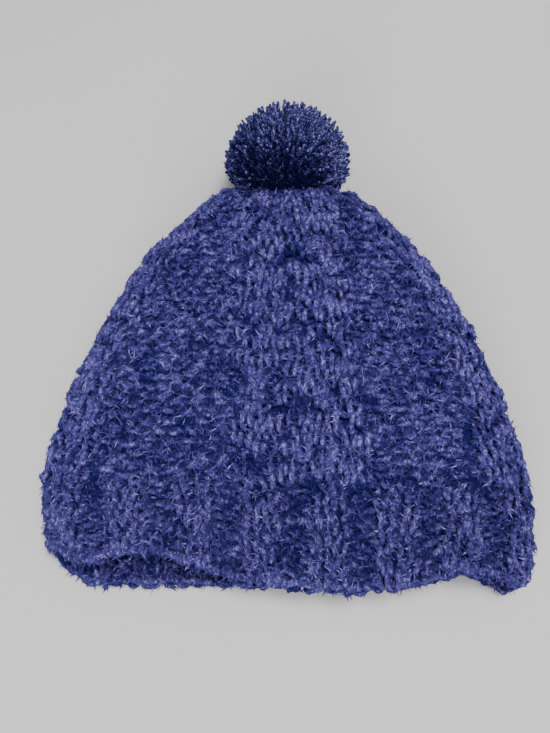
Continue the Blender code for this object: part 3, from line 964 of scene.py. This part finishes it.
def fibre_corners(root, normal, heading, length, width, dice):
    """Five corners of each fibre: two at its root, two at its middle and its point."""
    bend = dice.normal(0.0, FIBRE_BEND, heading.shape)
    bend = np.clip(bend, -FIBRE_MOST_BEND, FIBRE_MOST_BEND) * length
    side = unit(np.cross(heading, dice.normal(0.0, 1.0, heading.shape)))
    corners = np.zeros((len(root), 5, 3))
    for first, t, thin in ((0, 0.0, 1.0), (2, FIBRE_MIDDLE, FIBRE_MIDDLE_WIDTH)):
        middle = root + heading * length * t + bend * t * t - normal * length * (FIBRE_DROOP * t * t)
        corners[:, first] = middle - side * (width * thin / 2)
        corners[:, first + 1] = middle + side * (width * thin / 2)
    corners[:, 4] = root + heading * length + bend - normal * length * FIBRE_DROOP
    corners[..., 2] = np.maximum(corners[..., 2], FIBRE_LOWEST)
    return corners


def fibres(name, sources, count, length_range, width, stand, dice, material):
    """Short curved fibres on the yarns, as ribbons that end in a point."""
    points, normals, radii, shades = (np.concatenate([s[k] for s in sources]) for k in range(4))
    covered = np.nonzero(shades < CREASE_BARE)[0]
    pick = covered[dice.integers(0, len(covered), count)]
    normal = normals[pick]
    lay = drift(points[pick], LOCK_SIZE, dice)
    along, heading = fibre_headings(normal, lay, stand, dice)
    turn = dice.uniform(-ROOT_TURN, ROOT_TURN, (count, 1))
    outward = unit(normal * np.cos(turn) + along * ROOT_LEAN)
    root = points[pick] + outward * radii[pick][:, None] * ROOT_DEPTH
    length = dice.uniform(length_range[0], length_range[1], (count, 1))
    corners = fibre_corners(root, normal, heading, length, width, dice)
    start = np.arange(count)[:, None] * 5
    faces = np.concatenate((start + (0, 1, 3), start + (0, 3, 2), start + (2, 3, 4)))
    tone = FIBRE_UNEVEN * dice.normal(0.0, 1.0, count) + LOCK_TONE * lay[:, 0] * lay[:, 1]
    # Painted shade and light: fibres are darker in creases, on purl columns and in the hollow's
    # shaded rows, paler on knit ribs and in the lit rows
    tone -= CREASE_FIBRE_SHADE * shades[pick]
    return mesh_piece(name, corners.reshape(-1, 3), faces, {"tone": np.repeat(tone, 5)}, material)


def pompom_place(direction, share):
    """Places on the strands that run to unit directions, from 0 at the tie to 1 at their ends."""
    middle = np.array((0.0, BRIM_EDGE + pompom_middle_along(), POMPOM_MIDDLE))
    beyond = direction[:, 1] > 0
    above = direction[:, 2] > 0
    reach = np.stack((
        np.full(len(direction), POMPOM_WIDTH / 2),
        np.where(beyond, POMPOM_REACH, POMPOM_NEAR),
        np.where(above, POMPOM_TOP - POMPOM_MIDDLE, POMPOM_MIDDLE),
    ), axis=1)
    tie = middle + np.array(TIE_OFFSET)
    return tie + (middle + direction * reach - tie) * share[:, None]


def keep_clear(place, radius):
    """Pushes pompom yarn off the table and off the crown's end."""
    crown_end = float(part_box("crown")[1][1]) - CROWN_END_MARGIN
    crown_top = float(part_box("crown")[1][2]) - CROWN_TOP_MARGIN
    lean = ease((place[:, 2] - crown_top) / OVERHANG_EASE)
    wall = crown_end - OVERHANG - OVERHANG_ABOVE * lean
    over = np.abs(place[:, 0]) > BESIDE_CROWN
    place[:, 1] = np.where(over, place[:, 1], np.maximum(place[:, 1], wall))
    place[:, 2] = np.maximum(place[:, 2], radius)
    return place


def pompom_shade(direction):
    """Painted light on the strands of the right and the far side, a paler bundle, and painted shade
    on the strands next to the crown.
    """
    paler = RIGHT_PAINTED_LIGHT * direction[:, 0] + FAR_PAINTED_LIGHT * direction[:, 1]
    for begins, span, darker in NEAR_PAINTED_SHADES:
        paler -= darker * ease((-direction[:, 1] - begins) / span)
    off = np.linalg.norm(direction - PALE_BUNDLE, axis=1)
    return paler + BUNDLE_PALER * ease(1.0 - off / BUNDLE_REACH)


def strand_directions(dice):
    """Unit directions spread evenly over a ball, and a little unevenly again."""
    number = np.arange(STRANDS) + 0.5
    turn = math.pi * (1 + 5 ** 0.5) * number
    height = 1 - 2 * number / STRANDS
    flat = np.sqrt(1 - height ** 2)
    direction = np.stack((flat * np.cos(turn), flat * np.sin(turn), height), axis=1)
    return unit(direction + dice.normal(0.0, DIRECTION_SPREAD, direction.shape))


def strand_paths(direction, dice):
    """Where each strand runs, and its radius."""
    uneven = np.clip(dice.normal(0.0, 1.0, STRANDS), *REACH_LIMITS)
    reach = STRAND_REACH + REACH_SPREAD * uneven
    lean = across(dice.normal(0.0, 1.0, (STRANDS, 3)), direction)
    clump = np.sin(direction @ dice.normal(0.0, CLUMP_WAVES, (3, 3)) + CLUMP_PHASE)
    lean = lean * STRAND_LEAN + across(clump, direction) * CLUMP_LEAN
    uneven = np.clip(1 + THICK_SPREAD * dice.normal(0.0, 1.0, STRANDS), *THICK_LIMITS)
    thick = STRAND_RADIUS * uneven
    start = STRAND_STEPS[0, 0]
    rings = []
    for share in STRAND_STEPS[:, 0]:
        t = (share - start) / (1.0 - start)
        place = pompom_place(direction, share * reach) + lean * t * t
        rings.append(keep_clear(place, thick * STRAND_CLEARANCE))
    return np.stack(rings, axis=1), thick


def strand_tubes(path, thick, dice):
    """Corners and faces of the strands, and their headings at each step."""
    steps = len(STRAND_STEPS)
    ahead = unit(np.gradient(path, axis=1))
    near = dice.normal(0.0, 1.0, (STRANDS, 1, 3))
    radius = thick[:, None] * STRAND_STEPS[None, :, 1]
    corners, _ = rings(path, ahead, near, radius, STRAND_SIDES)
    corners[..., 2] = np.maximum(corners[..., 2], 0.0)
    first = np.arange(STRANDS)[:, None, None] * steps * STRAND_SIDES
    here = first + np.arange(steps - 1)[None, :, None] * STRAND_SIDES
    return corners.reshape(-1, 3), ring_faces(here, here + STRAND_SIDES, STRAND_SIDES), ahead


def make_pompom(dice, material, core_material, fibre_material):
    """Strands that spread from a heart painted dark as shade, with loose fibres at their ends."""
    direction = strand_directions(dice)
    path, thick = strand_paths(direction, dice)
    corners, quads, ahead = strand_tubes(path, thick, dice)
    shares = STRAND_STEPS[:, 0]
    along = np.repeat((shares - shares[0]) / (shares[-1] - shares[0]), STRAND_SIDES)
    tone = dice.normal(0.0, STRAND_TONE, STRANDS) + pompom_shade(direction)
    values = {"tip": np.tile(along, STRANDS), "tone": np.repeat(tone, len(along))}
    strands = mesh_piece("pompom_strands", corners, quads, values, material)
    ends = (path[:, -2], ahead[:, -2], thick, np.zeros(STRANDS))
    hairs = fibres("pompom_hairs", [ends], *POMPOM_HAIRS, dice, fibre_material)
    return strands, pompom_core(core_material), hairs


def pompom_core(material):
    """The heart that shows between the strands, painted near black as the shade deep in the ball."""
    polar = np.linspace(CORE_POLE, math.pi - CORE_POLE, CORE_RINGS)[:, None]
    around = np.arange(CORE_SIDES) / CORE_SIDES * TURN
    direction = np.stack((
        np.sin(polar) * np.cos(around),
        np.sin(polar) * np.sin(around),
        np.cos(polar) * np.ones(CORE_SIDES),
    ), axis=2).reshape(-1, 3)
    corners = pompom_place(direction, np.full(len(direction), CORE_SHARE))
    corners = keep_clear(corners, CORE_CLEARANCE)
    here = np.arange(CORE_RINGS - 1)[:, None] * CORE_SIDES
    quads = ring_faces(here, here + CORE_SIDES, CORE_SIDES)[:, (0, 3, 2, 1)]
    values = {"tip": np.zeros(len(corners)), "tone": np.zeros(len(corners))}
    return mesh_piece("pompom_core", corners, quads, values, material)


def new_material(name):
    """A material with its shader and an empty place for the rest."""
    material = bpy.data.materials.new(name)
    material.use_nodes = True
    tree = material.node_tree
    shader = tree.nodes["Principled BSDF"]
    put(shader, {"Metallic": 0.0})
    return material, tree, shader


def node(tree, kind, **settings):
    item = tree.nodes.new(kind)
    for key, value in settings.items():
        setattr(item, key, value)
    return item


def put(item, values):
    """Sets the inputs of a node by their names."""
    for name, value in values.items():
        item.inputs[name].default_value = value


def attribute(tree, name):
    item = node(tree, "ShaderNodeAttribute", attribute_name=name)
    return item.outputs["Fac"]


def map_range(tree, value, low, high, to_low=0.0, to_high=1.0):
    item = node(tree, "ShaderNodeMapRange", clamp=True)
    tree.links.new(value, item.inputs["Value"])
    put(item, {"From Min": low, "From Max": high, "To Min": to_low, "To Max": to_high})
    return item.outputs["Result"]


def noise(tree, scale, detail, stretch=(1.0, 1.0, 1.0)):
    coordinates = node(tree, "ShaderNodeTexCoord")
    mapping = node(tree, "ShaderNodeMapping")
    put(mapping, {"Scale": stretch})
    tree.links.new(coordinates.outputs["Object"], mapping.inputs["Vector"])
    item = node(tree, "ShaderNodeTexNoise")
    put(item, {"Scale": scale, "Detail": detail, "Roughness": NOISE_ROUGHNESS})
    tree.links.new(mapping.outputs["Vector"], item.inputs["Vector"])
    return item.outputs["Fac"]


def blend(tree, share, first, second):
    """Mixes two colours, each a link or a plain colour."""
    item = node(tree, "ShaderNodeMix", data_type="RGBA")
    for value, index in ((share, 0), (first, 6), (second, 7)):
        if isinstance(value, tuple):
            item.inputs[index].default_value = (*value, 1.0)
        else:
            tree.links.new(value, item.inputs[index])
    return item.outputs[2]


def combine(tree, operation, first, second):
    item = node(tree, "ShaderNodeMath", operation=operation)
    tree.links.new(first, item.inputs[0])
    tree.links.new(second, item.inputs[1])
    return item.outputs[0]


def finish(tree, shader, colour, roughness, specular, sheen, tint, **others):
    """Joins a colour to the shader and sets the yarn's finish."""
    tree.links.new(colour, shader.inputs["Base Color"])
    put(shader, {"Roughness": roughness, "Specular IOR Level": specular, "Sheen Weight": sheen})
    put(shader, {"Sheen Tint": (tint, tint, 1.0, 1.0), **others})


def add_bump(tree, shader, scale, detail, strength, distance):
    """A fine grain that catches the light."""
    bump = node(tree, "ShaderNodeBump")
    put(bump, {"Strength": strength, "Distance": distance})
    tree.links.new(noise(tree, scale, detail), bump.inputs["Height"])
    tree.links.new(bump.outputs["Normal"], shader.inputs["Normal"])


def uneven(tree, scale, detail, low, high, amount):
    """Blotches or grain, between minus and plus an amount."""
    return map_range(tree, noise(tree, scale, detail), low, high, -amount, amount)


def flecked(tree, level, dark, middle, light, base_range, fleck, fleck_range, light_range):
    """The yarn's colour at each level, which carries painted shade and light, with pale fibre flecks
    shown only where it is light, so they also act as painted highlights.
    """
    base = blend(tree, map_range(tree, level, *base_range), dark, middle)
    share = map_range(tree, noise(tree, **fleck), *fleck_range)
    share = combine(tree, "MULTIPLY", share, map_range(tree, level, *light_range))
    return blend(tree, share, base, light)


def wool(name, dark, middle, light, depth_range):
    """Brushed wool yarn: painted shade in the depths and painted light on the raised yarn, blotched,
    flecked and fibrous.
    """
    material, tree, shader = new_material(name)
    # Painted shade and light from the yarn's height over the fabric's middle
    depth = map_range(tree, attribute(tree, "depth"), *depth_range, to_low=0.08, to_high=0.92)
    blotch = uneven(tree, scale=75.0, detail=2.0, low=0.36, high=0.64, amount=0.26)
    grain = uneven(tree, scale=520.0, detail=3.0, low=0.34, high=0.66, amount=0.40)
    tone = attribute(tree, "tone")
    tone = map_range(tree, tone, low=-1.2, high=1.2, to_low=-0.16, to_high=0.16)
    first = combine(tree, "ADD", depth, blotch)
    level = combine(tree, "ADD", first, combine(tree, "ADD", tone, grain))
    colour = flecked(
        tree, level, dark, middle, light,
        base_range=(0.0, 1.0),
        fleck={"scale": 950.0, "detail": 2.0, "stretch": (1.0, 0.6, 1.0)},
        fleck_range=(0.46, 0.64),
        light_range=(0.35, 1.25),
    )
    finish(tree, shader, colour, roughness=0.95, specular=0.12, sheen=0.14, tint=0.40, **SOFT_SHEEN)
    add_bump(tree, shader, scale=900.0, detail=3.0, strength=0.8, distance=0.0010)
    return material


def strand_yarn(name, dark, middle, light):
    """Cut plied yarn: painted shade at its root deep in the ball, paler and flecked at its end."""
    material, tree, shader = new_material(name)
    # Painted shade: the strands darken towards their roots inside the ball
    tip = map_range(tree, attribute(tree, "tip"), low=0.25, high=1.0)
    tone = attribute(tree, "tone")
    tone = map_range(tree, tone, low=-3.2, high=1.6, to_low=-1.0, to_high=0.45)
    grain = uneven(tree, scale=800.0, detail=2.0, low=0.36, high=0.64, amount=0.35)
    level = combine(tree, "ADD", combine(tree, "ADD", tip, tone), grain)
    colour = flecked(
        tree, level, dark, middle, light,
        base_range=(0.15, 1.0),
        fleck={"scale": 1100.0, "detail": 2.0},
        fleck_range=(0.45, 0.62),
        light_range=(0.5, 1.35),
    )
    finish(tree, shader, colour, roughness=0.9, specular=0.08, sheen=0.03, tint=0.45, **SOFT_SHEEN)
    add_bump(tree, shader, scale=1300.0, detail=2.0, strength=0.5, distance=0.0005)
    return material


def fibre_material(name, dark, middle, light):
    """Single fibres and tufts, each of its own tone, which also carries their painted shade and
    light.
    """
    material, tree, shader = new_material(name)
    tone = attribute(tree, "tone")
    base = blend(tree, map_range(tree, tone, low=-1.6, high=0.6), dark, middle)
    base = blend(tree, map_range(tree, tone, low=0.3, high=2.4), base, light)
    finish(tree, shader, base, roughness=0.9, specular=0.12, sheen=0.18, tint=0.45)
    return material


def floor_and_light():
    """A plain pale floor, a soft sky and two large soft lamps."""
    material, tree, shader = new_material("floor_pale")
    tone = map_range(tree, noise(tree, scale=3.0, detail=2.0), low=0.3, high=0.7)
    tree.links.new(blend(tree, tone, *FLOOR_COLOURS), shader.inputs["Base Color"])
    put(shader, {"Roughness": FLOOR_ROUGHNESS})
    bpy.ops.mesh.primitive_plane_add(size=FLOOR_SIZE, location=(0.0, 0.0, FLOOR_HEIGHT))
    floor = bpy.context.object
    floor.name = "floor"
    floor.data.materials.append(material)
    world = bpy.data.worlds.new("soft_sky")
    world.use_nodes = True
    put(world.node_tree.nodes["Background"], {"Color": SKY_COLOUR, "Strength": SKY_STRENGTH})
    bpy.context.scene.world = world
    for name, place, size, power in LAMPS:
        lamp = bpy.data.lights.new(name, "AREA")
        lamp.size, lamp.energy = size, power
        item = bpy.data.objects.new(name, lamp)
        item.location = place
        item.rotation_euler = (-Vector(place)).to_track_quat("-Z", "Y").to_euler()
        bpy.context.scene.collection.objects.link(item)


def make_camera():
    """The photograph's view: tilted 20 degrees from straight down."""
    tilt, roll = math.radians(CAMERA_TILT), CAMERA_ROLL
    ahead = Vector((0.0, math.sin(tilt), -math.cos(tilt)))
    side = math.sin(roll)
    right = Vector((math.cos(roll), side * math.cos(tilt), side * math.sin(tilt)))
    up = right.cross(ahead)
    data = bpy.data.cameras.new("camera")
    data.sensor_fit = "HORIZONTAL"
    data.sensor_width = CAMERA_SENSOR
    data.lens = CAMERA_LENS
    data.clip_start = CAMERA_NEAREST
    camera = bpy.data.objects.new("camera", data)
    turn = Matrix((right, up, -ahead)).transposed().to_4x4()
    camera.matrix_world = Matrix.Translation(Vector(CAMERA_PLACE)) @ turn
    bpy.context.scene.collection.objects.link(camera)
    bpy.context.scene.camera = camera


def dress(piece, slot, *nodes):
    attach(piece, "root")
    if nodes:
        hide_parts(*nodes)
    return piece


def grow_coats(rows, dice, fuzz):
    """The coats of fibres on the rows of yarn, gathered under the name of a slot given for each."""
    coats = {"crown_knit": [], "brim_knit": []}
    for name, where, count, reach, width, stand, slot in COATS:
        coat = fibres(name, rows[where], count, reach, width, stand, dice, fuzz)
        coats[slot].append(dress(coat, slot))
    return coats


def main():
    dice = np.random.default_rng(DICE_SEED)
    make_camera()
    floor_and_light()
    knit = wool(*CROWN_WOOL, CROWN_DEPTHS)
    rib = wool(*BRIM_WOOL, BRIM_DEPTHS)
    ground = wool(*LAYER_PAINTED_SHADE, LAYER_DEPTHS)
    fuzz = fibre_material(*FIBRES)
    strand = strand_yarn(*STRANDS_YARN)
    heart = strand_yarn(*HEART_SHADE_YARN)

    brim_tubes, brim_rows = knit_brim(dice)
    brim = dress(join_tubes("brim_knit", brim_tubes, rib), "brim_knit", "brim")
    upper, lower, top_rows, low_rows = knit_crown(dice)
    crown = dress(join_tubes("crown_knit_upper", upper, knit), "crown_knit", "crown")
    under = dress(join_tubes("crown_knit_lower", lower, knit), "crown_knit")
    brim_ground = ground_shell("brim_ground", LAYER_START, BRIM_LENGTH, BRIM_LAYER_STEP, ground)
    dress(brim_ground, "brim_knit")
    crown_ground = ground_shell("crown_ground", BRIM_LENGTH, LAYER_END, CROWN_LAYER_STEP, ground)
    dress(crown_ground, "crown_knit")
    inside = inside_rows(brim_rows)
    rows = {"top": top_rows, "low": low_rows, "brim": brim_rows, "mouth": inside}
    coats = grow_coats(rows, dice, fuzz)
    strands, core, hairs = make_pompom(dice, strand, heart, fuzz)
    dress(strands, "pompom_yarn", "pompom")
    for piece in (core, hairs):
        dress(piece, "pompom_yarn")
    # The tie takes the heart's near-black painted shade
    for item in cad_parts["pompom_tie"].material_slots:
        item.material = heart


main()
